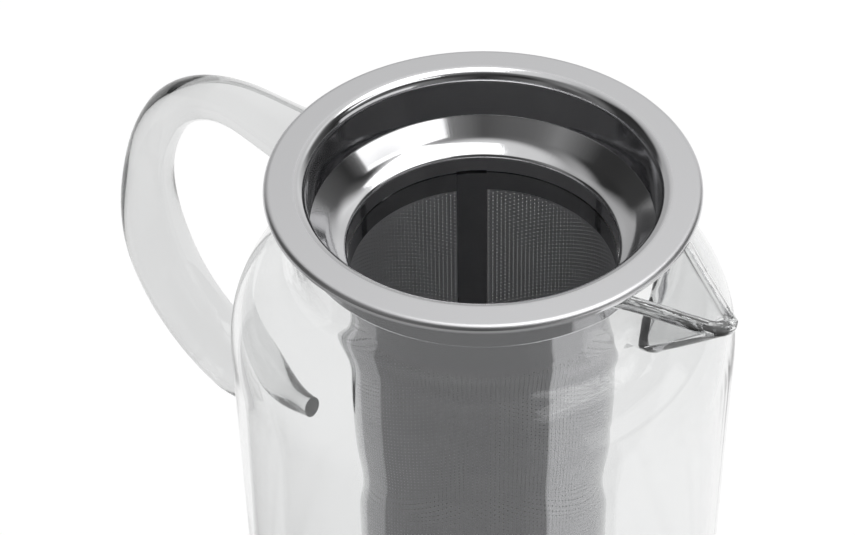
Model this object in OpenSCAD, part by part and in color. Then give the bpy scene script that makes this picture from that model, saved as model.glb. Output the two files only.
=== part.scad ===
// Glass pitcher with a lift-out steel fruit infuser, in millimetres.
// The origin is the centre of the base. +Z is up, the spout points to +X and the handle to -X.

/* [Jug] */
// Height of the glass from the table to the top of its rim
jug_h = 239; // [225:1:260]
// Outside diameter of the straight glass body
body_d = 122; // [116:1:128]
// Thickness of the blown glass
glass_t = 2.5; // [2:0.1:3]
// Thickness of the glass bottom
bottom_t = 5; // [4:0.5:8]
// Outside radius of the heel between bottom and wall
heel_r = 12; // [9:1:16]
// Height of the shoulder curve
shoulder_h = 23.6; // [20:0.2:28]
// Width of the shoulder curve, as a share of the step between body and neck
shoulder_share = 1.31; // [1.2:0.01:1.4]
// How far round the shoulder curve runs before it turns up into the neck, in degrees
shoulder_sweep = 69; // [64:1:71]
// Outside diameter of the neck
neck_d = 90; // [89:0.5:92]
// Height from the top of the shoulder curve to the rim
neck_h = 21.5; // [19:0.5:26]

/* [Spout] */
// Distance from the outside of the neck to the tip of the spout
spout_l = 24.5; // [21:0.1:28]
// Height of the rim above the top of the spout's tip
spout_drop = 4.7; // [3:0.1:7]
// Half of the width between the two places where the rim turns out into the spout
pull_half_w = 15.4; // [14:0.1:17]
// Half of the spout's width where it comes out from under the flange
root_half_w = 11.3; // [10:0.1:12.5]
// Distance from the outside of the neck to there
root_out = 3.6; // [2.5:0.1:4.5]
// Height of the rim above the spout's edge there
root_drop = 0.6; // [0.5:0.1:2]
// Distance from the tip back to where the edges turn together
knee_back = 2.6; // [1.5:0.1:4]
// Half of the spout's width there, between the middles of its edges
knee_half_w = 2.85; // [2:0.05:3.5]
// Height of the rim above the spout's edge there
knee_drop = 5.2; // [3.5:0.1:7]
// Depth of the spout's fold below the rim, where it leaves the neck
fold_depth = 29.3; // [26:0.1:31]
// How far the fold's foot lies inside the neck's inner wall
fold_in = 0.4; // [0.3:0.05:0.5]
// Radius inside the fold
fold_r = 0.4; // [0.3:0.05:0.6]

/* [Handle] */
// Depth of the handle's top end below the rim
handle_drop = 16.6; // [15:0.1:19]
// Distance from the side of the jug to the end of the handle's straight run
handle_out = 10.2; // [7:0.1:14]
// Slope of the straight run, in degrees above level
handle_rise = 4.8; // [3:0.2:6]
// Radius of the bend at the top corner
corner_bend_r = 35.8; // [33:0.2:39]
// Turn of the bend at the top corner, in degrees
corner_turn = 61; // [58:0.5:64]
// Radius of the long bend behind the fingers
back_bend_r = 62.8; // [58:0.2:67]
// Turn of the long bend, in degrees
back_turn = 36.7; // [34:0.1:39]
// Radius of the bend that brings the handle back to the body
foot_bend_r = 43.3; // [41:0.1:45]
// Turn of the bend that brings the handle back, in degrees
foot_turn = 96.3; // [93:0.1:98]
// Thickness of the glass rod where it joins the neck
rod_neck_d = 17; // [14:0.1:18]
// Thickness of the rod at the top corner, where bending thinned it
rod_corner_d = 11.6; // [11:0.1:13]
// Thickness of the rod below the top corner
rod_bend_d = 12.7; // [12:0.1:14]
// Thickness of the rod behind the fingers
rod_back_d = 17.9; // [15:0.1:19]
// Thickness of the rod in its lower bend
rod_low_d = 18.6; // [16:0.1:19.5]
// Thickness of the rod where it joins the body
rod_end_d = 9.6; // [9:0.1:14]

/* [Infuser collar] */
// Width of the flange, from the well's wall to its edge
flange_w = 9.7; // [9:0.1:10]
// Thickness of the pressed steel
steel_t = 0.6; // [0.5:0.05:0.8]
// Depth of the flange's turned-down edge, from its top face
edge_drop = 1.1; // [1:0.05:1.2]
// Outer radius of the turned-down edge
edge_r = 1; // [0.8:0.05:1.1]
// Outer radius of the bend from the flange into the well
mouth_r = 3; // [2:0.1:3.4]
// Gap all round between the well and the neck
well_gap = 1.3; // [1:0.05:1.5]
// Depth of the well's straight wall, from the flange's top face to the bowl
wall_depth = 12.7; // [12:0.1:13]
// Inside radius of the corner between the wall and the bowl
corner_r = 0.3; // [0.2:0.1:0.8]
// Width of the bowl's steep part
steep_w = 5.3; // [5:0.1:6]
// Fall of the bowl's steep part, in degrees
steep_fall = 42; // [38:1:44]
// Inside radius of the bowl between its steep and its flatter part
bowl_r = 13; // [10:0.5:14]
// Fall of the bowl's flatter part, in degrees
flat_fall = 23.5; // [22:0.5:26]
// Outside radius of the lip from the bowl into the throat
lip_r = 1.3; // [1:0.1:1.4]
// Width of the bowl, from the well's wall to the throat that holds the sleeve
bowl_w = 8.6; // [8.5:0.1:9]
// Depth of the throat's lower edge below the flange's top face
throat_depth = 28; // [26:0.5:31]

/* [Infuser sleeve] */
// Height of the infuser's lower end above the glass bottom
floor_gap = 38.9; // [30:0.1:60]
// Thickness of the etched sheet
sheet_t = 0.4; // [0.3:0.05:0.5]
// Gap between the sleeve and the throat that it is welded into
weld_gap = 0.05; // [0.03:0.01:0.1]
// Depth of the sleeve's top edge below the flange's top face
sleeve_top_depth = 23.7; // [22.5:0.1:25]
// Width of the lapped seam, measured round the sleeve
seam_w = 7.4; // [5:0.2:10]
// Direction of the seam, turned from the spout, in degrees
seam_turn = 133; // [0:1:359]

/* [Infuser base] */
// Height of the cup that closes the sleeve
cup_h = 7; // [5:0.5:10]
// Thickness of the cup's steel
cup_t = 0.5; // [0.4:0.05:0.6]
// Outside radius of the cup's lower corner
cup_r = 1.5; // [1:0.1:3]

/* [Hidden] */
// Facets of a full circle, and steps along each drawn curve
$fn = 96;
arc_steps = 8;
shoulder_steps = 16;
rod_sides = 24;
bend_steps = 14;
// Extra length of every cut past the face that it opens
overrun = 1;
// Facets of the balls that round the spout
ball_facets = 32;
// Gap between the flange and the rim that it rests on
seat_gap = 0.3;
// How far the seam's lap bites into the sheet, as a share of the sheet's thickness
bite_share = 0.5;

body_r = body_d / 2;
neck_r = neck_d / 2;
mouth_in_r = neck_r - glass_t;
shoulder_w = (body_r - neck_r) * shoulder_share;
shoulder_x = body_r - shoulder_w;
shoulder_z = jug_h - neck_h - shoulder_h;
rim_r = glass_t / 2;

flange_z = jug_h + seat_gap + steel_t;
well_r = mouth_in_r - well_gap - steel_t;
flange_r = well_r + flange_w;
throat_r = well_r - bowl_w;
sleeve_r = throat_r - weld_gap;
sleeve_in_r = sleeve_r - sheet_t;
sleeve_top_z = flange_z - sleeve_top_depth;
sleeve_z = bottom_t + floor_gap;
cup_out_r = sleeve_in_r - weld_gap;

// Where the bowl's two parts would meet if they were straight, and the centres of its bends
meet_x = well_r - steep_w;
meet_z = flange_z - wall_depth - steep_w * tan(steep_fall);
bowl_run = bowl_r * tan((steep_fall - flat_fall) / 2);
bowl_x = meet_x + bowl_run * cos(steep_fall) - bowl_r * sin(steep_fall);
bowl_z = meet_z + bowl_run * sin(steep_fall) + bowl_r * cos(steep_fall);
lip_z = meet_z - (meet_x - throat_r) * tan(flat_fall) - lip_r * tan((90 - flat_fall) / 2);

// Points of an arc, from one angle to another
function arc(x, z, r, from, to, steps) =
    [for (i = [0:steps]) let (a = from + (to - from) * i / steps) [x + r * cos(a), z + r * sin(a)]];

// A point of the shoulder's ellipse, and its outward direction there
function shoulder_point(a) = [shoulder_x + shoulder_w * cos(a), shoulder_z + shoulder_h * sin(a)];
function unit(v) = v / norm(v);
function shoulder_out(a) = unit([cos(a) / shoulder_w, sin(a) / shoulder_h]);

// The fillet between shoulder and neck touches both, which sets its radius
foot_point = shoulder_point(shoulder_sweep);
foot_out = shoulder_out(shoulder_sweep);
fillet_r = (foot_point[0] - neck_r) / (1 - foot_out[0]);
fillet_c = foot_point + fillet_r * foot_out;

// The wall's line at a depth inside the glass, from the end of the heel to the neck
function wall_line(depth) = concat(
    [for (i = [0:shoulder_steps])
        let (a = shoulder_sweep * i / shoulder_steps)
        shoulder_point(a) - depth * shoulder_out(a)],
    arc(fillet_c[0], fillet_c[1], fillet_r + depth,
        180 + atan2(foot_out[1], foot_out[0]), 180, arc_steps));

module jug_outside() {
    rotate_extrude() polygon(concat(
        [[0, 0]],
        arc(body_r - heel_r, heel_r, heel_r, -90, 0, arc_steps),
        wall_line(0),
        arc(neck_r - rim_r, jug_h - rim_r, rim_r, 0, 90, arc_steps),
        [[0, jug_h]]));
}

module jug_inside() {
    heel_in_r = heel_r - glass_t;
    rotate_extrude() polygon(concat(
        [[0, bottom_t]],
        arc(body_r - heel_r, bottom_t + heel_in_r, heel_in_r, -90, 0, arc_steps),
        wall_line(glass_t),
        arc(neck_r - rim_r, jug_h - rim_r, rim_r, 180, 90, arc_steps),
        [[neck_r - rim_r, jug_h + overrun], [0, jug_h + overrun]]));
}

// Middles of the spout's beaded edge, on both sides, and of the fold that runs to the neck's foot
rim_c_r = neck_r - rim_r;
rim_c_z = jug_h - rim_r;
tip = [neck_r + spout_l - rim_r, 0, rim_c_z - spout_drop];
knee = [tip[0] - knee_back, knee_half_w, rim_c_z - knee_drop];
root = [neck_r + root_out, root_half_w, rim_c_z - root_drop];
pull = [sqrt(pow(rim_c_r, 2) - pow(pull_half_w, 2)), pull_half_w, rim_c_z];
fold = [mouth_in_r - fold_in, 0, jug_h - fold_depth];
function other_side(p) = [p[0], -p[1], p[2]];
spout_points = concat([tip, fold], [for (p = [knee, root, pull]) each [p, other_side(p)]]);

// The channel is the same shape, moved up from the fold until the walls have their thickness
side_out = unit(cross(knee - root, fold - root));
fold_line = unit(tip - fold);
fold_up = [-fold_line[2], 0, fold_line[0]];
channel_shift = (rim_r + fold_r) / -(side_out * fold_up) * fold_up;

module spout_hull(r, shift, lift) {
    hull() {
        for (p = spout_points, up = [0, lift]) {
            translate(p + shift + [0, 0, up]) sphere(r, $fn = ball_facets);
        }
    }
}

module jug_body() {
    color([0.93, 0.95, 0.96, 0.35])
    difference() {
        union() {
            jug_outside();
            spout_hull(rim_r, [0, 0, 0], 0);
        }
        jug_inside();
        spout_hull(fold_r, channel_shift, spout_drop + overrun);
    }
}

// Bends of the handle's centre line: radius and turn of each
bends = [
    [corner_bend_r, corner_turn],
    [back_bend_r, back_turn],
    [foot_bend_r, foot_turn]];

// Points and headings along the centre line, each [x, z, heading], with x away from the jug
rod_start = [mouth_in_r, jug_h - handle_drop, handle_rise];
function run(from, length) =
    [from[0] + length * cos(from[2]), from[1] + length * sin(from[2]), from[2]];
function turned(from, r, turn) =
    let (heading = from[2] - turn, cx = from[0] + r * sin(from[2]), cz = from[1] - r * cos(from[2]))
    [cx - r * sin(heading), cz + r * cos(heading), heading];
handle_run = (body_r + handle_out - rod_start[0]) / cos(handle_rise);
corner_start = run(rod_start, handle_run);
back_start = turned(corner_start, bends[0][0], bends[0][1]);
foot_start = turned(back_start, bends[1][0], bends[1][1]);
foot_end = turned(foot_start, bends[2][0], bends[2][1]);
// The last run reaches through half of the wall, and is cut back to its outside
foot_run = (foot_end[0] - (body_r - rim_r)) / -cos(foot_end[2]);
rod_end = run(foot_end, foot_run);
bend_starts = [corner_start, back_start, foot_start];

rod_line = concat(
    [rod_start],
    [for (b = [0:len(bends) - 1], i = [0:bend_steps - 1])
        turned(bend_starts[b], bends[b][0], bends[b][1] * i / bend_steps)],
    [foot_end, rod_end]);

// Length of the centre line up to each of its points, and the rod's thickness there
function step_length(i) = norm([rod_line[i][0] - rod_line[i - 1][0], rod_line[i][1] - rod_line[i - 1][1]]);
function length_to(i) = i == 0 ? 0 : length_to(i - 1) + step_length(i);
rod_length = length_to(len(rod_line) - 1);
rod_shares = [0, 0.25, 0.45, 0.65, 0.85, 1];
rod_ds = [rod_neck_d, rod_corner_d, rod_bend_d, rod_back_d, rod_low_d, rod_end_d];
function rod_d(share) = lookup(share, [for (i = [0:len(rod_shares) - 1]) [rod_shares[i], rod_ds[i]]]);

function ring(i) =
    let (p = rod_line[i], r = rod_d(length_to(i) / rod_length) / 2)
    [for (k = [0:rod_sides - 1])
        let (a = 360 * k / rod_sides, out = r * cos(a))
        [-(p[0] - out * sin(p[2])), r * sin(a), p[1] + out * cos(p[2])]];

module rod() {
    rings = len(rod_line);
    last = (rings - 1) * rod_sides;
    polyhedron(
        points = [for (i = [0:rings - 1]) each ring(i)],
        faces = concat(
            [[for (k = [0:rod_sides - 1]) k]],
            [for (i = [0:rings - 2], k = [0:rod_sides - 1])
                let (a = i * rod_sides, b = a + rod_sides, n = (k + 1) % rod_sides)
                each [[a + k, b + k, b + n], [a + k, b + n, a + n]]],
            [[for (k = [0:rod_sides - 1]) last + rod_sides - 1 - k]]));
}

module jug_handle() {
    color([0.93, 0.95, 0.96, 0.5])
    difference() {
        rod();
        jug_outside();
    }
}

// The collar's pressed line, at a depth below the polished side of the sheet
function collar_line(depth) = concat(
    [[flange_r - depth, flange_z - edge_drop]],
    arc(flange_r - edge_r, flange_z - edge_r, edge_r - depth, 0, 90, arc_steps),
    arc(well_r + mouth_r, flange_z - mouth_r, mouth_r - depth, 90, 180, arc_steps),
    arc(well_r - corner_r, flange_z - wall_depth + corner_r * tan((90 - steep_fall) / 2),
        corner_r + depth, 0, steep_fall - 90, arc_steps),
    arc(bowl_x, bowl_z, bowl_r + depth, steep_fall - 90, flat_fall - 90, arc_steps),
    arc(throat_r + lip_r, lip_z, lip_r - depth, 90 + flat_fall, 180, arc_steps),
    [[throat_r + depth, flange_z - throat_depth]]);

function reversed(list) = [for (i = [len(list) - 1:-1:0]) list[i]];

module infuser_collar() {
    color([0.78, 0.78, 0.79])
    rotate_extrude() polygon(concat(collar_line(0), reversed(collar_line(steel_t))));
}

module infuser_sleeve() {
    seam_angle = seam_w / (2 * PI * sleeve_in_r) * 360;
    height = sleeve_top_z - sleeve_z;
    color([0.55, 0.55, 0.56])
    translate([0, 0, sleeve_z]) union() {
        rotate_extrude() translate([sleeve_in_r, 0]) square([sheet_t, height]);
        // The lap lies inside, and bites into the tube so that the two are one sheet
        rotate([0, 0, seam_turn - seam_angle / 2])
        rotate_extrude(angle = seam_angle)
        translate([sleeve_in_r - sheet_t, cup_h + weld_gap])
        square([sheet_t * (1 + bite_share), height - cup_h - weld_gap]);
    }
}

module infuser_base() {
    color([0.62, 0.62, 0.63])
    translate([0, 0, sleeve_z])
    rotate_extrude() polygon(concat(
        [[0, 0]],
        arc(cup_out_r - cup_r, cup_r, cup_r, -90, 0, arc_steps),
        [[cup_out_r, cup_h], [cup_out_r - cup_t, cup_h]],
        arc(cup_out_r - cup_r, cup_r, cup_r - cup_t, 0, -90, arc_steps),
        [[0, cup_t]]));
}

jug_body();
jug_handle();
infuser_collar();
infuser_sleeve();
infuser_base();
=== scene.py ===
import math
import bpy
import numpy as np
from mathutils import Matrix


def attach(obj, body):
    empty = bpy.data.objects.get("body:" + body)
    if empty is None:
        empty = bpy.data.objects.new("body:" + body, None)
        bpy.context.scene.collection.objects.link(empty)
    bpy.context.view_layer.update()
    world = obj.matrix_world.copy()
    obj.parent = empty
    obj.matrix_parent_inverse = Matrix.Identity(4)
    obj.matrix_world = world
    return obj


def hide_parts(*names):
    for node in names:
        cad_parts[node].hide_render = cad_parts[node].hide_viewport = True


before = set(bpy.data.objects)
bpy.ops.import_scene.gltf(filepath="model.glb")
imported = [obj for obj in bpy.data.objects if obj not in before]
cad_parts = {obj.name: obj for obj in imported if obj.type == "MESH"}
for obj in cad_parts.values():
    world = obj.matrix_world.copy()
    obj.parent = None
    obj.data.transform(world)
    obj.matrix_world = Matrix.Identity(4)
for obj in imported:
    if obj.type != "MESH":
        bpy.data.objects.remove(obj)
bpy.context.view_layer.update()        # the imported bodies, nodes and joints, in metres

mm = 0.001
fullTurn = 360.0
weldDistance = 0.5e-6  # points closer than this, in metres, become one
fineStep = 0.1  # mm between the points of a line while it is evened out

studio = {
    "cameraPlace": (0.25249, -0.32318, 0.57343),
    "cameraPitch": 41.3274,  # degrees below level
    "cameraHeading": 38.0,  # degrees turned from +Y
    "lens": 97.03,
    "sensor": 36,
    "bounces": 32,
    "glossyBounces": 16,
    "photoWidth": 855,
    "principalX": 483,  # pixel column that the camera looks along
    "floorSize": 9.0,
    "floorDrop": 0.0002,
    "floorGlow": 0.84,
    "floorShade": 0.3,  # share of the lamps' light that camera, metal and glass see on the paper
    "frontFloor": 0.4,  # the unlit paper on the camera's side, as steel and glass mirror it
    "leftFloor": 0.56,  # painted shade too, less deep: the paper on the left, past that part
    "frontFrom": -93.0,  # that part of the floor, in degrees round from the camera
    "frontTo": 55.0,
    "nearFloor": 0.35,  # radii between which the lit paper turns into an even glow
    "farFloor": 0.9,
    "ambient": 0.55,
    # the light that the steel mirrors, by degrees round from the camera, in three bands and a ceiling
    "low": [(-180, 0.5), (-136, 0.48), (-126, 0.05), (-88, 0.04), (-76, 0.2), (-50, 0.08), (-35, 0.2), (0, 0.03),
            (25, 0.18), (45, 0.25), (70, 0.1), (90, 0.07), (98, 0.02), (126, 0.13), (137, 0.55), (150, 0.85),
            (180, 0.5)],
    "middle": [(-180, 0.84), (-135, 0.46), (-120, 0.03), (-90, 0.04), (-60, 0.28), (-30, 0.03), (0, 0.05), (30, 0.06),
               (60, 0.07), (90, 0.25), (105, 0.02), (120, 0.15), (135, 0.95), (150, 0.7), (180, 0.84)],
    "upper": [(-180, 0.89), (-120, 0.49), (-90, 0.36), (-60, 0.2), (-30, 0.16), (0, 0.1), (30, 0.28), (60, 0.5),
              (90, 1.15), (120, 1.1), (150, 0.87), (180, 0.89)],
    "middleFrom": (0.4, 0.6),  # sines of the heights between which one band turns into the next
    "upperFrom": (0.72, 0.85),
    "ceiling": 0.84,
    "ceilingFrom": (0.875, 0.96),
    "frontThrough": 0.65,  # the camera's side as the glass lets it through, where the rest is white
    "paperTones": ((0.82, 0.82, 0.82, 1), (0.86, 0.86, 0.86, 1)),
    "paperFibre": 40.0,
    "edgeBlur": 0.004,  # half the width, in metres, over which the dim part of the floor fades in
    "frontSide": (-0.35, 0.25),  # sines, as for the bands
}


# Mesh helpers

def selectOnly(piece):
    if bpy.context.object and bpy.context.object.mode != "OBJECT":
        bpy.ops.object.mode_set(mode="OBJECT")
    bpy.ops.object.select_all(action="DESELECT")
    if piece is not None:
        piece.select_set(True)
        bpy.context.view_layer.objects.active = piece


def arc(x, z, r, start, end, steps):
    turns = np.radians(np.linspace(start, end, steps + 1))
    return [(x + r * math.cos(a), z + r * math.sin(a)) for a in turns]


def spinOutline(name, outline, closed, sectors, recalculate=True):
    # outline holds (radius, height) in mm, sectors holds (degrees, steps) round the axis
    selectOnly(None)
    bpy.ops.mesh.primitive_circle_add(vertices=len(outline), radius=0.05, fill_type="NOTHING")
    piece = bpy.context.object
    piece.name = piece.data.name = name
    for vertex, (radius, height) in zip(piece.data.vertices, outline):
        vertex.co = (-radius * mm, 0, height * mm)
        vertex.select = False
    last = len(outline) - 1
    for edge in piece.data.edges:
        edge.select = not closed and set(edge.vertices) == {0, last}
        for index in edge.vertices:
            if edge.select:
                piece.data.vertices[index].select = True
    bpy.ops.object.mode_set(mode="EDIT")
    bpy.ops.mesh.select_mode(type="EDGE")
    if not closed:
        bpy.ops.mesh.delete(type="EDGE")
    bpy.ops.mesh.select_mode(type="VERT")
    bpy.ops.mesh.select_all(action="SELECT")
    for degrees, steps in sectors:
        bpy.ops.mesh.spin(steps=steps, angle=math.radians(degrees), center=(0, 0, 0), axis=(0, 0, 1))
    bpy.ops.mesh.select_all(action="SELECT")
    bpy.ops.mesh.remove_doubles(threshold=weldDistance)
    if recalculate:
        bpy.ops.mesh.normals_make_consistent(inside=False)
    bpy.ops.object.mode_set(mode="OBJECT")
    return piece


def smooth(piece, degrees=40):
    selectOnly(piece)
    bpy.ops.object.shade_smooth_by_angle(angle=math.radians(degrees))


def applyModifier(piece, kind, **settings):
    selectOnly(piece)
    modifier = piece.modifiers.new(kind.lower(), kind)
    for key, value in settings.items():
        setattr(modifier, key, value)
    bpy.ops.object.modifier_apply(modifier=modifier.name)


def outwardCheck(piece):
    # volume is positive when the faces point outwards
    mesh = piece.data
    mesh.calc_loop_triangles()
    points = np.empty(len(mesh.vertices) * 3)
    mesh.vertices.foreach_get("co", points)
    points = points.reshape(-1, 3)
    corners = np.empty(len(mesh.loop_triangles) * 3, dtype=int)
    mesh.loop_triangles.foreach_get("vertices", corners)
    a, b, c = (points[corners.reshape(-1, 3)[:, i]] for i in range(3))
    return float(np.einsum("ij,ij->i", a, np.cross(b, c)).sum() / 6)


def dress(piece, material, slot, body, *nodes):
    piece.data.materials.clear()
    piece.data.materials.append(material)
    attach(piece, body)
    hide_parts(*nodes)
    print(f"{piece.name}: {len(piece.data.polygons)} faces, {outwardCheck(piece) * 1e6:.1f} cm3")


# Shader helpers

class Wire:
    # one shader socket, on which sums add Math nodes
    def __init__(self, tree, socket):
        self.tree, self.socket = tree, socket

    def sum(self, operation, *values):
        return self.tree.node("ShaderNodeMath", {"operation": operation}, dict(enumerate(values)))

    def __add__(self, other):
        return self.sum("ADD", self, other)

    def __sub__(self, other):
        return self.sum("SUBTRACT", self, other)

    def __rsub__(self, other):
        return self.sum("SUBTRACT", other, self)

    def __mul__(self, other):
        return self.sum("MULTIPLY", self, other)

    def __truediv__(self, other):
        return self.sum("DIVIDE", self, other)

    def __pow__(self, other):
        return self.sum("POWER", self, other)

    __radd__, __rmul__ = __add__, __mul__


class Tree:
    # the node tree of a material or of the world
    def __init__(self, owner):
        owner.use_nodes = True
        self.tree = owner.node_tree
        self.tree.nodes.clear()

    def node(self, kind, settings=None, sockets=None, output=0):
        node = self.tree.nodes.new(kind)
        for key, value in (settings or {}).items():
            if key == "stops":
                ramp = node.color_ramp
                while len(ramp.elements) < len(value):
                    ramp.elements.new(1.0)
                for stop, (place, level) in zip(ramp.elements, value):
                    stop.position, stop.color = place, (level, level, level, 1)
            else:
                setattr(node, key, value)
        for key, value in (sockets or {}).items():
            if isinstance(value, Wire):
                self.tree.links.new(value.socket, node.inputs[key])
            else:
                node.inputs[key].default_value = value
        return Wire(self, node.outputs[output] if len(node.outputs) else None)

    def place(self):
        return self.node("ShaderNodeTexCoord", output="Object")

    def axes(self, vector):
        parts = self.node("ShaderNodeSeparateXYZ", sockets={"Vector": vector}).socket.node
        return [Wire(self, parts.outputs[axis]) for axis in "XYZ"]

    def clamp(self, value, low, high):
        # 0 at low, 1 at high, smooth between
        return self.node("ShaderNodeMapRange", {"interpolation_type": "SMOOTHSTEP"},
                         {"Value": value, "From Min": low, "From Max": high})

    def between(self, length, span):
        # the same for a length, with the span in mm
        return self.clamp(length, span[0] * mm, span[1] * mm)

    def noise(self, vector, scale, detail=2.0):
        return self.node("ShaderNodeTexNoise", sockets={"Vector": vector, "Scale": scale, "Detail": detail})

    def blend(self, share, first, second):
        # two colours, or a colour and a wire, by a share
        mix = self.node("ShaderNodeMix", {"data_type": "RGBA"}).socket.node
        for index, value in ((0, share), (6, first), (7, second)):
            if isinstance(value, Wire):
                self.tree.links.new(value.socket, mix.inputs[index])
            else:
                mix.inputs[index].default_value = value
        return Wire(self, mix.outputs[2])


def newMaterial(name):
    material = bpy.data.materials.new(name)
    return material, Tree(material)


# Materials

glassFinish = {
    "tint": (0.95, 0.953, 0.953, 1),
    "rodTint": (0.92, 0.923, 0.923, 1),
    "smoke": (0.5, 0.505, 0.505, 1),  # what the glass takes up on its way through
    "smokeDensity": 28.0,
    "ior": 1.47,
    "waveSize": 22.0,
    "waveHeight": 0.00012,
    "waveStrength": 0.5,
    "lampTint": (0.9, 0.92, 0.92, 1),  # what a lamp's ray keeps, so that the glass throws a light shadow
}


def makeGlass(name, stretch, waveHeight, tint):
    material, tree = newMaterial(name)
    place = tree.node("ShaderNodeMapping", sockets={"Vector": tree.place(), "Scale": stretch})
    wave = tree.noise(place, glassFinish["waveSize"], 1.0)
    bump = tree.node("ShaderNodeBump", sockets={
        "Strength": glassFinish["waveStrength"], "Distance": waveHeight, "Height": wave})
    glass = tree.node("ShaderNodeBsdfPrincipled", sockets={
        "Base Color": tint, "Roughness": 0.0, "IOR": glassFinish["ior"],
        "Transmission Weight": 1.0, "Normal": bump})
    clear = tree.node("ShaderNodeBsdfTransparent", sockets={"Color": glassFinish["lampTint"]})
    shadow = tree.node("ShaderNodeLightPath", output="Is Shadow Ray")
    both = tree.node("ShaderNodeMixShader", sockets={0: shadow, 1: glass, 2: clear})
    smoke = tree.node("ShaderNodeVolumeAbsorption", sockets={
        "Color": glassFinish["smoke"], "Density": glassFinish["smokeDensity"]})
    tree.node("ShaderNodeOutputMaterial", sockets={"Surface": both, "Volume": smoke})
    return material


collarFinish = {
    "colour": (0.72, 0.72, 0.73, 1),
    "worn": (0.67, 0.67, 0.68, 1),
    "flange": (0.68, 0.68, 0.69, 1),  # satin
    "outside": (0.46, 0.46, 0.47, 1),  # painted shade on the sheet's outside, below the flange and inside the jug's neck
    "paintedGlint": (0.88, 0.88, 0.89, 1),  # a painted highlight along the well's lower corner
    "glintFrom": (225.5, 225.9),  # heights in mm over which it starts and stops
    "glintTo": (227.0, 227.4),
    "satin": 0.33,
    "polish": 0.07,
    "satinFrom": (42.9, 43.7),  # radii in mm over which the flange turns satin
    "satinAbove": (238.9, 239.2),  # and heights
    "outsideBelow": (238.1, 238.5),
    "ringsPerMetre": 9000.0,  # fine turned rings on the flange
    "ringSpread": 3.0,
    "ringRough": 0.06,
    "ringHeight": 0.4,
    "streakScale": (60.0, 30.0, 20.0),  # drawing marks of the well: by turn, height and radius
    "streakHeight": 0.5,
    "cloudScale": 60.0,
    "cloudRough": 0.05,
    "bump": (0.25, 0.00004),  # strength and height in metres
}


def makeCollarSteel():
    material, tree = newMaterial("polishedSteel")
    place = tree.place()
    x, y, z = tree.axes(place)
    radius = (x * x + y * y) ** 0.5
    turn = tree.node("ShaderNodeMath", {"operation": "ARCTAN2"}, {0: y, 1: x})
    onFlange = tree.between(radius, collarFinish["satinFrom"]) * tree.between(z, collarFinish["satinAbove"])
    grain = tree.node("ShaderNodeCombineXYZ", sockets={
        "X": radius * collarFinish["ringsPerMetre"], "Y": turn * collarFinish["ringSpread"], "Z": 0.0})
    rings = tree.noise(grain, 1.0, 3.0)
    byTurn, byHeight, byRadius = collarFinish["streakScale"]
    streaks = tree.noise(tree.node("ShaderNodeCombineXYZ", sockets={
        "X": turn * byTurn, "Y": z * byHeight, "Z": radius * byRadius}), 1.0)
    cloud = tree.noise(place, collarFinish["cloudScale"], 3.0)
    rough = collarFinish["polish"] + collarFinish["cloudRough"] * cloud
    rough = rough + onFlange * (
        collarFinish["satin"] - collarFinish["polish"] + collarFinish["ringRough"] * (rings - 0.5))
    height = onFlange * rings * collarFinish["ringHeight"] + (1 - onFlange) * streaks * collarFinish["streakHeight"]
    # the sheet's outside faces away from the axis or down; below the flange it gets painted shade
    facing = tree.axes(tree.node("ShaderNodeTexCoord", output="Normal"))
    outwards = (facing[0] * x + facing[1] * y) / radius - facing[2]
    outside = tree.clamp(outwards, -0.1, 0.1) * (1 - tree.between(z, collarFinish["outsideBelow"]))
    colour = tree.blend(cloud, collarFinish["colour"], collarFinish["worn"])
    colour = tree.blend(onFlange, colour, collarFinish["flange"])
    # painted highlight: a band of heights along the well's lower corner
    paintedGlint = tree.between(z, collarFinish["glintFrom"]) * (1 - tree.between(z, collarFinish["glintTo"]))
    # painted shade on the outside, carrying the painted highlight band
    paintedShadeAndGlint = tree.blend(paintedGlint, collarFinish["outside"], collarFinish["paintedGlint"])
    strength, rise = collarFinish["bump"]
    bump = tree.node("ShaderNodeBump", sockets={"Strength": strength, "Distance": rise, "Height": height})
    steel = tree.node("ShaderNodeBsdfPrincipled", sockets={
        "Base Color": tree.blend(outside, colour, paintedShadeAndGlint), "Metallic": 1.0, "Roughness": rough, "Normal": bump})
    tree.node("ShaderNodeOutputMaterial", sockets={"Surface": steel})
    return material


sleeveFinish = {
    "colour": (0.5, 0.5, 0.51, 1),
    "burr": (0.44, 0.44, 0.45, 1),
    "columns": 188,  # holes round the tube, an even number
    "rowPitch": 1.18,
    "hole": 0.12,  # radius of a hole
    "holeBlur": 0.04,
    "burrWidth": 0.12,  # of the duller ring round a hole
    "burrShare": 0.5,
    "radius": 31.9,  # the middle of the sheet
    "sheetBlur": 0.03,
    "top": 210.5,  # height of the highest row
    "bottom": 52.5,  # height of the lowest row
    "rowBlur": 0.05,
    "etchedBlur": 0.3,
    "seamTurn": 133.0,
    "seamWidth": 7.4,
    "seamBlur": 0.1,
    "rough": 0.06,
    "cloudRough": 0.05,
    "cloudScale": 90.0,
    "rollScale": 120.0,  # marks of the rolling, drawn out along the tube
    "rollStretch": (1, 1, 0.15),
    "bump": (0.3, 0.0001),  # strength and height in metres
    "insideRough": 0.5,  # the etched side, which faces inwards
    "insideColour": (0.7, 0.7, 0.71, 1),
    "paintedEdgeShade": (0.12, 0.12, 0.12, 1),  # painted shade on the top edge, which sits up in the collar's throat
    "edgeShadeFrom": (215.9, 216.15),
}


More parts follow.
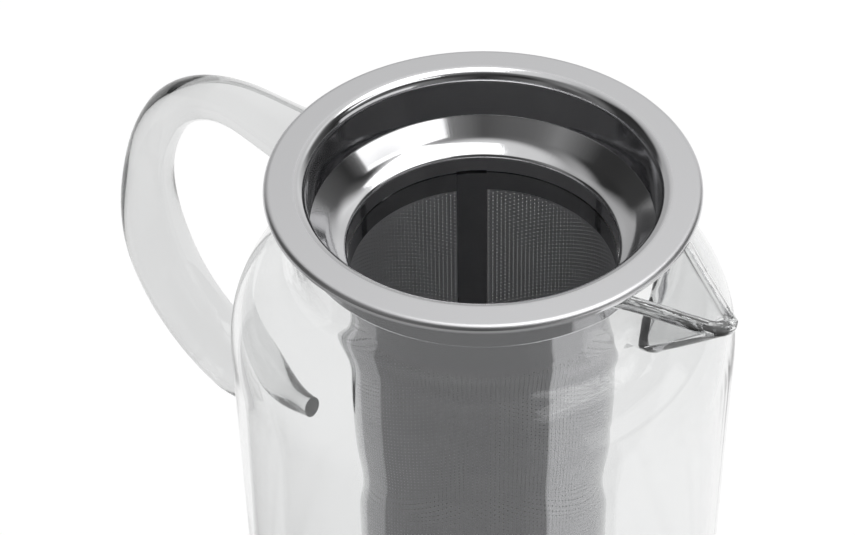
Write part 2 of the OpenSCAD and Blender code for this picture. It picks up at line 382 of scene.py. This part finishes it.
def makeSleeveSteel(name, perforated):
    material, tree = newMaterial(name)
    place = tree.place()
    x, y, z = tree.axes(place)
    turn = tree.node("ShaderNodeMath", {"operation": "ARCTAN2"}, {0: y, 1: x})
    cloud = tree.noise(place, sleeveFinish["cloudScale"], 3.0)
    rough = sleeveFinish["rough"] + sleeveFinish["cloudRough"] * cloud
    colour = tree.blend(cloud, sleeveFinish["colour"], sleeveFinish["burr"])
    roll = tree.node("ShaderNodeMapping", sockets={"Vector": place, "Scale": sleeveFinish["rollStretch"]})
    strength, rise = sleeveFinish["bump"]
    bump = tree.node("ShaderNodeBump", sockets={
        "Strength": strength, "Distance": rise, "Height": tree.noise(roll, sleeveFinish["rollScale"], 1.0)})
    sockets = {"Metallic": 1.0, "Normal": bump}
    if perforated:
        # where this point lies from the middle of the nearest hole, in mm
        column = turn * (sleeveFinish["columns"] / (2 * math.pi)) + sleeveFinish["columns"]
        stagger = tree.node("ShaderNodeMath", {"operation": "FLOOR"}, {0: column})
        stagger = tree.node("ShaderNodeMath", {"operation": "MODULO"}, {0: stagger, 1: 2.0}) * 0.5
        row = z / (sleeveFinish["rowPitch"] * mm) + stagger
        pitch = 2 * math.pi * sleeveFinish["radius"] / sleeveFinish["columns"]
        across = (tree.node("ShaderNodeMath", {"operation": "FRACT"}, {0: column}) - 0.5) * pitch
        along = (tree.node("ShaderNodeMath", {"operation": "FRACT"}, {0: row}) - 0.5) * sleeveFinish["rowPitch"]
        reach = (across * across + along * along) ** 0.5
        size, blur = sleeveFinish["hole"], sleeveFinish["holeBlur"]
        top, bottom = sleeveFinish["top"], sleeveFinish["bottom"]
        hole = 1 - tree.clamp(reach, size - blur, size + blur)
        hole = hole * tree.between(z, (bottom, bottom + sleeveFinish["rowBlur"]))
        hole = hole * (1 - tree.between(z, (top, top + sleeveFinish["rowBlur"])))
        # the seam's strip has no holes
        seamCos = math.cos(math.radians(sleeveFinish["seamTurn"]))
        seamSin = math.sin(math.radians(sleeveFinish["seamTurn"]))
        side = x * -seamSin + y * seamCos
        front = tree.between(x * seamCos + y * seamSin, (0, 1))
        gap = tree.node("ShaderNodeMath", {"operation": "ABSOLUTE"}, {0: side})
        half = sleeveFinish["seamWidth"] / 2
        plain = front * (1 - tree.between(gap, (half, half + sleeveFinish["seamBlur"])))
        etched = (1 - plain) * (1 - tree.between(z, (top, top + sleeveFinish["etchedBlur"])))
        middle, blur = sleeveFinish["radius"], sleeveFinish["sheetBlur"]
        inside = 1 - tree.between((x * x + y * y) ** 0.5, (middle - blur, middle + blur))
        rough = rough + etched * inside * (sleeveFinish["insideRough"] - sleeveFinish["rough"])
        hole = hole * (1 - plain)
        sockets["Alpha"] = 1 - hole
        edge = tree.clamp(reach, size + sleeveFinish["burrWidth"], size)
        colour = tree.blend(edge * sleeveFinish["burrShare"], colour, sleeveFinish["burr"])
        colour = tree.blend(etched * inside, colour, sleeveFinish["insideColour"])
        # painted shade darkens the top edge
        colour = tree.blend(tree.between(z, sleeveFinish["edgeShadeFrom"]), colour, sleeveFinish["paintedEdgeShade"])
    sockets["Base Color"], sockets["Roughness"] = colour, rough
    steel = tree.node("ShaderNodeBsdfPrincipled", sockets=sockets)
    tree.node("ShaderNodeOutputMaterial", sockets={"Surface": steel})
    return material


blownGlass = makeGlass("blownGlass", (1, 1, 0.6), glassFinish["waveHeight"], glassFinish["tint"])
rodGlass = makeGlass("rodGlass", (1, 1, 1), glassFinish["waveHeight"] * 1.5, glassFinish["rodTint"])
collarSteel = makeCollarSteel()
sleeveSteel = makeSleeveSteel("etchedSteel", True)
cupSteel = makeSleeveSteel("cupSteel", False)
print("materials made")


# Jug body: half-way line of the wall, spun, pulled out into the spout, then given its thickness

jug = {
    "height": 239.0, "bodyR": 61.0, "wall": 2.5, "bottom": 5.0, "bottomRows": (0, 14, 28, 40), "heelR": 12.0,
    "shoulderX": 40.04, "shoulderZ": 193.9, "shoulderW": 20.96, "shoulderH": 23.6, "shoulderSweep": 69.0,
    "filletX": 49.18, "filletZ": 219.77, "filletR": 4.18, "neckR": 45.0,
    "neckWall": 3.5, "thickFrom": 200.0, "thickTo": 226.0,  # the wall grows to neckWall between these heights
    "rimRound": 1.65, "rimRow": 1.8, "rowStep": 0.85,
    "evenFrom": 172.0, "evenOver": 2.6,  # the curvature is evened out from this height up, over this length
    "sectors": [(158, 60), (8, 14), (28, 100), (8, 14), (158, 60)],  # degrees and steps, finest at the spout
}
spout = {
    "flangeTop": 239.9,
    "planeA": (25.61, 0.424, 0.305, 0.853),  # its faces: distance, growth with height, direction
    "planeB": (46.45, 0.6733, 0.6012, 0.4303),
    "creaseRound": 0.026,
    "edgeRound": 1.2,
    "pleatRound": (1.2, 3.6),  # at the crease and at the sides
    "pleatTurns": (2.0, 11.0),
    "reach": 75.0,  # degrees to both sides
    "below": 5.0,  # how far under the shoulder's start it may reach
    "dropTurns": (0, 1.2, 2.5, 4.5, 7.07, 10, 13.1, 16, 18.5, 20.6),  # how far the rim sags, by degrees
    "drops": (5.12, 5.35, 5.45, 4.35, 3.08, 1.85, 0.72, 0.2, 0.04, 0),
    "dropBlur": 0.8,
    "dropFrom": 212.0,
}


def shoulderLine(depth, steps):
    line = []
    for a in np.radians(np.linspace(0, jug["shoulderSweep"], steps + 1)):
        out = np.array([math.cos(a) / jug["shoulderW"], math.sin(a) / jug["shoulderH"]])
        out /= np.linalg.norm(out)
        point = np.array([jug["shoulderX"] + jug["shoulderW"] * math.cos(a),
                          jug["shoulderZ"] + jug["shoulderH"] * math.sin(a)]) - depth * out
        line.append(tuple(point))
    start = 180 + math.degrees(math.atan2(out[1], out[0]))
    line += arc(jug["filletX"], jug["filletZ"], jug["filletR"] + depth, start, 180, 10)[1:]
    return line


def evenOut(line, spread):
    # the line's running length and points, its curvature evened out over a length in mm, its ends kept
    line = np.array(line)
    run = np.concatenate([[0], np.cumsum(np.linalg.norm(np.diff(line, axis=0), axis=1))])
    fine = np.arange(0, run[-1], fineStep)
    points = np.stack([np.interp(fine, run, line[:, i]) for i in range(2)], axis=1)
    reach = int(3 * spread / fineStep)
    weights = np.exp(-0.5 * (np.arange(-reach, reach + 1) * fineStep / spread) ** 2)
    weights /= weights.sum()
    first, last = points[0], points[-1]
    before = [2 * first - points[i] for i in range(reach, 0, -1)]
    after = [2 * last - points[-1 - i] for i in range(1, reach + 1)]
    padded = np.concatenate([before, points, after])
    even = np.stack([np.convolve(padded[:, i], weights, mode="valid") for i in range(2)], axis=1)
    return fine, even


def spoutRadius(turn, height):
    level = height - spout["flangeTop"]
    c, s = np.cos(turn), np.abs(np.sin(turn))
    a0, a1, a2, a3 = spout["planeA"]
    b0, b1, b2, b3 = spout["planeB"]
    sideA = (a0 + a1 * level) / (a2 * c + a3 * s)
    sideB = (b0 + b1 * level) / (b2 * c + b3 * np.sqrt(s * s + spout["creaseRound"] ** 2))
    k = spout["edgeRound"]
    return -k * np.logaddexp(-sideA / k, -sideB / k)


def spoutDrop(turn):
    degrees = np.degrees(turn)
    shifts = np.linspace(-spout["dropBlur"], spout["dropBlur"], 9)
    return np.mean([np.interp(np.abs(degrees + s), spout["dropTurns"], spout["drops"]) for s in shifts], axis=0)


def pullSpout(piece):
    mesh = piece.data
    points = np.empty(len(mesh.vertices) * 3)
    mesh.vertices.foreach_get("co", points)
    points = points.reshape(-1, 3) / mm
    radius = np.hypot(points[:, 0], points[:, 1])
    turn = np.arctan2(points[:, 1], points[:, 0])
    height = points[:, 2]
    near = (np.abs(turn) < math.radians(spout["reach"])) & (height > jug["shoulderZ"] - spout["below"])
    share = np.clip((height - spout["dropFrom"]) / (jug["height"] - spout["dropFrom"]), 0, 1)
    share = share * share * (3 - 2 * share)
    height = np.where(near, height - spoutDrop(turn) * share, height)
    start, end = np.radians(spout["pleatTurns"])
    side = np.clip((np.abs(turn) - start) / (end - start), 0, 1)
    side = side * side * (3 - 2 * side)
    k = spout["pleatRound"][0] * (1 - side) + spout["pleatRound"][1] * side
    pulled = k * np.logaddexp(radius / k, spoutRadius(np.where(near, turn, 0), height) / k)
    radius = np.where(near, pulled, radius)
    moved = np.stack([radius * np.cos(turn), radius * np.sin(turn), height], axis=1)
    mesh.vertices.foreach_set("co", (moved * mm).ravel())
    mesh.update()


def makeJugBody():
    half = jug["wall"] / 2
    heelX = jug["bodyR"] - jug["heelR"]
    middleZ = jug["bottom"] / 2
    heel = arc(heelX, (jug["heelR"] + jug["bottom"] + jug["heelR"] - jug["wall"]) / 2,
               jug["heelR"] - half, -90, 0, 10)
    line = [(x, middleZ) for x in jug["bottomRows"]] + heel
    line += [(jug["bodyR"] - half, z) for z in np.linspace(heel[-1][1], jug["evenFrom"], 10)[1:]]
    top = jug["height"] - jug["rimRow"]
    run, even = evenOut([(jug["bodyR"] - half, jug["evenFrom"])] + shoulderLine(half, 60)
                        + [(jug["neckR"] - half, top)], jug["evenOver"])
    rows = np.linspace(0, run[-1], int(run[-1] / jug["rowStep"]) + 1)[1:]
    line += [(np.interp(s, run, even[:, 0]), np.interp(s, run, even[:, 1])) for s in rows]
    line.append((jug["neckR"] - half, jug["height"]))
    piece = spinOutline("pitcherBody", line, False, jug["sectors"])
    thick = piece.vertex_groups.new(name="thickness")
    rim = piece.vertex_groups.new(name="rim")
    for vertex in piece.data.vertices:
        height = vertex.co.z / mm
        run = (height - heel[0][1]) / (heel[-1][1] - heel[0][1])
        share = 1 - (1 - jug["wall"] / jug["bottom"]) * min(max(run, 0), 1)
        up = min(max((height - jug["thickFrom"]) / (jug["thickTo"] - jug["thickFrom"]), 0), 1)
        share += up * up * (3 - 2 * up) * (jug["neckWall"] - jug["wall"]) / jug["bottom"]
        thick.add([vertex.index], share, "REPLACE")
        if height > jug["height"] - 0.01:
            rim.add([vertex.index], 1, "REPLACE")
    rimGroup = rim.index
    pullSpout(piece)
    applyModifier(piece, "SOLIDIFY", thickness=jug["bottom"] * mm, offset=0, use_even_offset=True,
                  vertex_group="thickness", use_rim=True)
    selectOnly(piece)
    onRim = {v.index for v in piece.data.vertices if any(g.group == rimGroup and g.weight > 0.5 for g in v.groups)}
    rimEdges = {}
    for face in piece.data.polygons:
        whole = all(index in onRim for index in face.vertices)
        for key in face.edge_keys:
            rimEdges.setdefault(key, []).append(whole)
    for vertex in piece.data.vertices:
        vertex.select = False
    for edge in piece.data.edges:
        sides = rimEdges.get(edge.key, [])
        edge.select = any(sides) and not all(sides)
    for face in piece.data.polygons:
        face.select = False
    for edge in piece.data.edges:
        if edge.select:
            for index in edge.vertices:
                piece.data.vertices[index].select = True
    bpy.ops.object.mode_set(mode="EDIT")
    bpy.ops.mesh.select_mode(type="EDGE")
    bpy.ops.mesh.bevel(offset=jug["rimRound"] * mm, segments=4, affect="EDGES", clamp_overlap=False)
    bpy.ops.object.mode_set(mode="OBJECT")
    piece.vertex_groups.clear()
    smooth(piece, 60)
    return piece


pitcherBody = makeJugBody()
dress(pitcherBody, blownGlass, "blown_glass", "jug", "jug_body")


# Handle: a drawn glass rod along its bent line, its ends cut to the jug's outside

handle = {
    "startX": 42.5, "startZ": 222.4, "rise": 4.8, "runTo": 71.2,
    "bends": [(35.8, 61.0), (62.8, 36.7), (43.3, 96.3)],  # radius and degrees
    "endX": 59.0,
    "shares": [0, 0.25, 0.45, 0.65, 0.85, 1],  # places along the rod, and its thickness there
    "thickness": [17, 11.6, 12.7, 17.9, 18.6, 7],
    "points": 150,
    "cutFrom": 60,  # height from which the jug cuts its ends
    "bite": 0.05,  # how far it is sunk into the wall, so that the two read as fused
}


def handleLine():
    heading = handle["rise"]
    x, z = handle["startX"], handle["startZ"]
    line = [(x, z)]
    run = (handle["runTo"] - x) / math.cos(math.radians(heading))
    for share in np.linspace(0, 1, 12)[1:]:
        line.append((x + run * share * math.cos(math.radians(heading)),
                     z + run * share * math.sin(math.radians(heading))))
    x, z = line[-1]
    for radius, turn in handle["bends"]:
        cx = x + radius * math.sin(math.radians(heading))
        cz = z - radius * math.cos(math.radians(heading))
        for a in np.linspace(0, turn, 40)[1:]:
            line.append((cx - radius * math.sin(math.radians(heading - a)),
                         cz + radius * math.cos(math.radians(heading - a))))
        heading -= turn
        x, z = line[-1]
    run = (x - handle["endX"]) / -math.cos(math.radians(heading))
    for share in np.linspace(0, 1, 6)[1:]:
        line.append((x + run * share * math.cos(math.radians(heading)),
                     z + run * share * math.sin(math.radians(heading))))
    return np.array(line)


def evenLine(line, count):
    steps = np.concatenate([[0], np.cumsum(np.linalg.norm(np.diff(line, axis=0), axis=1))])
    shares = np.linspace(0, 1, count)
    return shares, np.stack([np.interp(shares * steps[-1], steps, line[:, i]) for i in range(2)], axis=1)


def smoothShares(shares, knots, values):
    # a smooth curve through the knots, without overshoot
    knots, values = np.array(knots, float), np.array(values, float)
    slopes = np.diff(values) / np.diff(knots)
    ends = np.zeros(len(knots))
    for i in range(1, len(knots) - 1):
        if slopes[i - 1] * slopes[i] > 0:
            ends[i] = 2 * slopes[i - 1] * slopes[i] / (slopes[i - 1] + slopes[i])
    i = np.clip(np.searchsorted(knots, shares) - 1, 0, len(knots) - 2)
    width = knots[i + 1] - knots[i]
    t = (shares - knots[i]) / width
    return ((2 * t ** 3 - 3 * t ** 2 + 1) * values[i] + (t ** 3 - 2 * t ** 2 + t) * width * ends[i]
            + (3 * t ** 2 - 2 * t ** 3) * values[i + 1] + (t ** 3 - t ** 2) * width * ends[i + 1])


def makeRod(name, line, widths):
    selectOnly(None)
    bpy.ops.curve.primitive_nurbs_path_add()
    rod = bpy.context.object
    rod.data.splines.clear()
    rod.data.dimensions = "3D"
    spline = rod.data.splines.new("POLY")
    spline.points.add(len(line) - 1)
    for point, (x, z), width in zip(spline.points, line, widths):
        point.co = (-x * mm, 0, z * mm, 1)
        point.radius = width / 2
    rod.data.bevel_depth = mm
    rod.data.bevel_resolution = 14
    rod.data.use_fill_caps = True
    rod.data.twist_mode = "MINIMUM"
    selectOnly(rod)
    bpy.ops.object.convert(target="MESH")
    rod = bpy.context.object
    rod.name = rod.data.name = name
    bpy.ops.object.mode_set(mode="EDIT")
    bpy.ops.mesh.select_all(action="SELECT")
    bpy.ops.mesh.remove_doubles(threshold=weldDistance)
    bpy.ops.mesh.normals_make_consistent(inside=False)
    bpy.ops.object.mode_set(mode="OBJECT")
    return rod


def cutToJug(rod, depth):
    # cuts off what is deeper than depth inside the jug's outside
    foot = handle["cutFrom"]
    outside = [(0, foot), (jug["bodyR"] - depth, foot)] + shoulderLine(depth, 40)
    outside += [(jug["neckR"] - depth, jug["height"]), (0, jug["height"])]
    cutter = spinOutline("handleCutter", outside, False, [(fullTurn, 360)])
    applyModifier(rod, "BOOLEAN", operation="DIFFERENCE", object=cutter, solver="EXACT")
    bpy.data.objects.remove(cutter)


def makeHandle():
    shares, line = evenLine(handleLine(), handle["points"])
    thick = smoothShares(shares, handle["shares"], handle["thickness"])
    rod = makeRod("pitcherHandle", line, thick)
    cutToJug(rod, handle["bite"])
    smooth(rod, 40)
    return rod


pitcherHandle = makeHandle()
dress(pitcherHandle, rodGlass, "rod_glass", "jug", "jug_handle")


# Infuser collar: one pressed sheet, from the flange's edge down into the throat

collar = {
    "top": 239.9, "sheet": 0.6, "steps": 288,
    "flangeR": 50.5, "edgeR": 1.4, "edgeDrop": 1.5,
    "mouthR": 3.1, "wellTopR": 40.75, "wellFootR": 40.5, "wallDepth": 12.7, "cornerR": 0.3,
    "bowlAt": (35.3, 17.47), "bowlR": 13.0,  # radius and depth where the well's steep part turns into the flat one
    "throatR": 32.0, "lipDepth": 18.91, "lipR": 1.3, "throatDepth": 28.0,
    "edgeRow": 0.15,  # rows this close to each bend keep the straight parts straight
}


def roundCorners(points, radii, steps):
    # a line through the points, each corner rounded with its own radius
    line = [np.array(points[0])]
    for i in range(1, len(points) - 1):
        here = np.array(points[i])
        back = np.array(points[i - 1]) - here
        ahead = np.array(points[i + 1]) - here
        back, ahead = back / np.linalg.norm(back), ahead / np.linalg.norm(ahead)
        turn = math.pi - math.acos(back @ ahead)
        middle = (back + ahead) / np.linalg.norm(back + ahead)
        centre = here + middle * radii[i] / math.cos(turn / 2)
        first = here + back * radii[i] * math.tan(turn / 2) - centre
        last = here + ahead * radii[i] * math.tan(turn / 2) - centre
        start = math.degrees(math.atan2(first[1], first[0]))
        sweep = (math.degrees(math.atan2(last[1], last[0])) - start + 180) % 360 - 180
        line += [np.array(point) for point in arc(*centre, radii[i], start, start + sweep, steps[i])]
    line.append(np.array(points[-1]))
    rows = [line[0]]
    for point in line[1:]:
        length = np.linalg.norm(point - rows[-1])
        if length > 8 * collar["edgeRow"]:
            step = (point - rows[-1]) * collar["edgeRow"] / length
            rows += [rows[-1] + step, point - step]
        rows.append(point)
    return np.array(rows)


def backOf(line, depth):
    # the other side of a sheet, as thick as depth
    along = np.gradient(line, axis=0)
    along = along / np.linalg.norm(along, axis=1)[:, None]
    return line + depth * np.stack([-along[:, 1], along[:, 0]], axis=1)


def collarOutline():
    c = collar
    top = c["top"]
    face = roundCorners([(c["flangeR"], top - c["edgeDrop"]), (c["flangeR"], top), (c["wellTopR"], top),
                         (c["wellFootR"], top - c["wallDepth"]), (c["bowlAt"][0], top - c["bowlAt"][1]),
                         (c["throatR"], top - c["lipDepth"]), (c["throatR"], top - c["throatDepth"])],
                        [0, c["edgeR"], c["mouthR"], c["cornerR"], c["bowlR"], c["lipR"]], [0, 8, 18, 8, 16, 12])
    back = backOf(face, c["sheet"])
    back[0] = (c["flangeR"] - c["sheet"], top - c["edgeDrop"])
    back[-1] = (c["throatR"] + c["sheet"], top - c["throatDepth"])
    return [tuple(point) for point in face] + [tuple(point) for point in back[::-1]]


infuserCollar = spinOutline("infuserCollar", collarOutline(), True, [(fullTurn, collar["steps"])])
smooth(infuserCollar)
dress(infuserCollar, collarSteel, "polished_steel", "infuser", "infuser_collar")


# Infuser sleeve: a rolled tube of etched sheet, with its lap inside

sleeve = {
    "outR": 31.95, "sheet": 0.1, "bottom": 43.9, "top": 216.2, "steps": 188,
    "lapTurn": 133.0, "lapWidth": 7.4, "lapSteps": 8, "lapSheet": 0.35, "lapGap": 0.02, "lapFrom": 51.0,
}


def makeSleeve():
    s = sleeve
    inR = s["outR"] - s["sheet"]
    tube = spinOutline("infuserSleeve", [(s["outR"], s["bottom"]), (s["outR"], s["top"]), (inR, s["top"]),
                                         (inR, s["bottom"])], True, [(fullTurn, s["steps"])])
    lapR = inR - s["lapGap"]
    width = math.degrees(s["lapWidth"] / lapR)
    lap = spinOutline("sleeveLap", [(lapR, s["lapFrom"]), (lapR, s["top"]), (lapR - s["lapSheet"], s["top"]),
                                    (lapR - s["lapSheet"], s["lapFrom"])], True, [(width, s["lapSteps"])], False)
    bpy.ops.object.mode_set(mode="EDIT")
    bpy.ops.mesh.select_all(action="DESELECT")
    bpy.ops.mesh.select_mode(type="VERT")
    bpy.ops.mesh.select_non_manifold()
    bpy.ops.mesh.fill_holes(sides=4)
    bpy.ops.mesh.select_all(action="SELECT")
    bpy.ops.mesh.normals_make_consistent(inside=False)
    bpy.ops.object.mode_set(mode="OBJECT")
    centre = sum((vertex.co for vertex in lap.data.vertices), start=lap.data.vertices[0].co * 0)
    turn = math.radians(s["lapTurn"]) - math.atan2(centre.y, centre.x)
    lap.data.transform(Matrix.Rotation(turn, 4, "Z"))
    tube.select_set(True)
    bpy.context.view_layer.objects.active = tube
    bpy.ops.object.join()
    return tube


infuserSleeve = makeSleeve()
smooth(infuserSleeve)
dress(infuserSleeve, sleeveSteel, "etched_steel", "infuser", "infuser_sleeve")


# Infuser base: the cup that closes the sleeve

cup = {
    "outR": 31.5, "sheet": 0.5, "bottom": 43.9, "height": 7.0, "corner": 1.5,
    "bottomRows": (0, 12, 24), "steps": 144,
}


def makeCup():
    c = cup
    cornerX, cornerZ, top = c["outR"] - c["corner"], c["bottom"] + c["corner"], c["bottom"] + c["height"]
    outline = ([(x, c["bottom"]) for x in c["bottomRows"]]
               + arc(cornerX, cornerZ, c["corner"], -90, 0, 8)
               + [(c["outR"], top), (c["outR"] - c["sheet"], top)]
               + arc(cornerX, cornerZ, c["corner"] - c["sheet"], 0, -90, 8)
               + [(x, c["bottom"] + c["sheet"]) for x in c["bottomRows"][::-1]])
    return spinOutline("infuserBase", outline, False, [(fullTurn, c["steps"])])


infuserBase = makeCup()
smooth(infuserBase)
dress(infuserBase, cupSteel, "etched_steel", "infuser", "infuser_base")
print("pieces made")


# Floor, world, lamps and camera

def pale(tree):
    # 1 for rays from the camera, off metal and through glass
    seen = 0
    for name in ("Is Camera Ray", "Is Glossy Ray", "Is Transmission Ray"):
        seen = tree.node("ShaderNodeLightPath", output=name) + seen
    return tree.node("ShaderNodeMath", {"operation": "MINIMUM"}, {0: seen, 1: 1.0})


selectOnly(None)
bpy.ops.mesh.primitive_plane_add(size=studio["floorSize"], location=(0, 0, -studio["floorDrop"]))
floor = bpy.context.object
floor.name = floor.data.name = "studioFloor"
floorPaper, tree = newMaterial("floorPaper")
fibre = tree.noise(tree.place(), studio["paperFibre"], 4.0)
seen = pale(tree)
x, y, z = tree.axes(tree.place())
radius = (x * x + y * y) ** 0.5
far = tree.clamp(radius, studio["nearFloor"], studio["farFloor"])
lit = tree.blend(seen, (1, 1, 1, 1), (studio["floorShade"],) * 3 + (1,))
paper = tree.node("ShaderNodeBsdfDiffuse", sockets={
    "Color": tree.node("ShaderNodeMix", {"data_type": "RGBA", "blend_type": "MULTIPLY"}, {
        0: 1.0, 6: lit, 7: tree.blend(fibre, *studio["paperTones"])}, 2)})
fromCamera = math.radians(studio["cameraHeading"] - 90)
sides = []
for side, edge in ((1, studio["frontFrom"]), (-1, studio["frontTo"])):
    a = fromCamera + math.radians(edge)
    sides.append(tree.clamp((y * math.cos(a) - x * math.sin(a)) * side, -studio["edgeBlur"], studio["edgeBlur"]))
front = sides[0] * sides[1]
left = (1 - sides[0]) * sides[1]
# rays that only went through glass keep the pale paper, mirrored ones see its dim parts
glossy = tree.node("ShaderNodeLightPath", output="Is Glossy Ray")
bounces = tree.node("ShaderNodeLightPath", output="Glossy Depth")
mirrored = tree.node("ShaderNodeMath", {"operation": "MINIMUM"}, {0: glossy * bounces, 1: 1.0})
# painted shade on the paper, only where mirrored rays see it
dim = 1 - mirrored * (front * (1 - studio["frontFloor"]) + left * (1 - studio["leftFloor"]))
glow = tree.node("ShaderNodeEmission", sockets={"Strength": seen * dim * studio["floorGlow"]})
bright = tree.node("ShaderNodeEmission", sockets={"Strength": dim})
near = tree.node("ShaderNodeAddShader", sockets={0: tree.node("ShaderNodeMixShader", sockets={
    0: mirrored * front, 1: paper, 2: tree.node("ShaderNodeEmission", sockets={"Strength": 0.0})}), 1: glow})
both = tree.node("ShaderNodeMixShader", sockets={0: far * seen, 1: near, 2: bright})
tree.node("ShaderNodeOutputMaterial", sockets={"Surface": both})
floor.data.materials.append(floorPaper)

world = bpy.data.worlds.new("studioWorld")
bpy.context.scene.world = world
tree = Tree(world)
x, y, z = tree.axes(tree.node("ShaderNodeTexCoord", output="Generated"))
heading = math.radians(studio["cameraHeading"])
front = x * math.sin(heading) - y * math.cos(heading)
frontSide = tree.clamp(front, *studio["frontSide"])
side = x * math.cos(heading) + y * math.sin(heading)
turn = tree.node("ShaderNodeMath", {"operation": "ARCTAN2"}, {0: side, 1: front})
around = turn / (2 * math.pi) + 0.5
low, middle, upper = (
    tree.node("ShaderNodeValToRGB", {"stops": [((a + 180) / fullTurn, level) for a, level in studio[band]]},
              {"Fac": around}) for band in ("low", "middle", "upper"))
studioGrey = tree.blend(tree.clamp(z, *studio["middleFrom"]), low, middle)
studioGrey = tree.blend(tree.clamp(z, *studio["upperFrom"]), studioGrey, upper)
studioGrey = tree.blend(tree.clamp(z, *studio["ceilingFrom"]), studioGrey, (studio["ceiling"],) * 3 + (1,))
clearGrey = 1 - frontSide * (1 - studio["frontThrough"])
path = tree.node("ShaderNodeLightPath").socket.node
camera, glossy, through = (Wire(tree, path.outputs[f"Is {kind} Ray"])
                           for kind in ("Camera", "Glossy", "Transmission"))
other = (1 - camera) * (1 - glossy) * (1 - through)
seenOff = through * clearGrey + (1 - through) * glossy * studioGrey
level = camera + (1 - camera) * seenOff + other * studio["ambient"]
background = tree.node("ShaderNodeBackground", sockets={"Color": (1, 1, 1, 1), "Strength": level})
tree.node("ShaderNodeOutputWorld", sockets={"Surface": background})

lamps = {  # azimuth and elevation as seen from the jug, distance, size in metres, roll in degrees, radiance
    "softboxWindow": (18, 51.9, 1.2, (0.99, 0.17), -20.6, 1.46),
    "softboxTop": (59.9, 74.5, 1.0, (0.72, 0.72), -26.2, 1.43),
    "softboxSide": (16.8, 12.1, 1.3, (1.27, 0.44), 1, 0.72),
}
target = (0, 0, 0.2)  # the lamps look at the collar
for name, (azimuth, elevation, distance, size, roll, radiance) in lamps.items():
    data = bpy.data.lights.new(name, "AREA")
    data.shape, data.size, data.size_y = "RECTANGLE", size[0], size[1]
    data.energy = radiance * math.pi * size[0] * size[1]
    lamp = bpy.data.objects.new(name, data)
    bpy.context.collection.objects.link(lamp)
    a, e = math.radians(azimuth), math.radians(elevation)
    lamp.location = (target[0] + distance * math.cos(e) * math.cos(a),
                     target[1] + distance * math.cos(e) * math.sin(a), target[2] + distance * math.sin(e))
    aim = Matrix.Rotation(a + math.pi / 2, 3, "Z") @ Matrix.Rotation(math.pi / 2 - e, 3, "X")
    lamp.rotation_euler = (aim @ Matrix.Rotation(math.radians(roll), 3, "Z")).to_euler()

selectOnly(None)
bpy.ops.object.camera_add(location=studio["cameraPlace"],
                          rotation=(math.radians(90 - studio["cameraPitch"]), 0, heading))
camera = bpy.context.object
camera.data.sensor_width = studio["sensor"]
camera.data.lens = studio["lens"]
camera.data.shift_x = 0.5 - studio["principalX"] / studio["photoWidth"]
camera.data.clip_start, camera.data.clip_end = 0.01, 30
bpy.context.scene.camera = camera
bpy.context.scene.view_settings.view_transform = "Standard"
cycles = bpy.context.scene.cycles
cycles.max_bounces = cycles.transmission_bounces = cycles.transparent_max_bounces = studio["bounces"]
cycles.glossy_bounces = studio["glossyBounces"]
print("stage set")
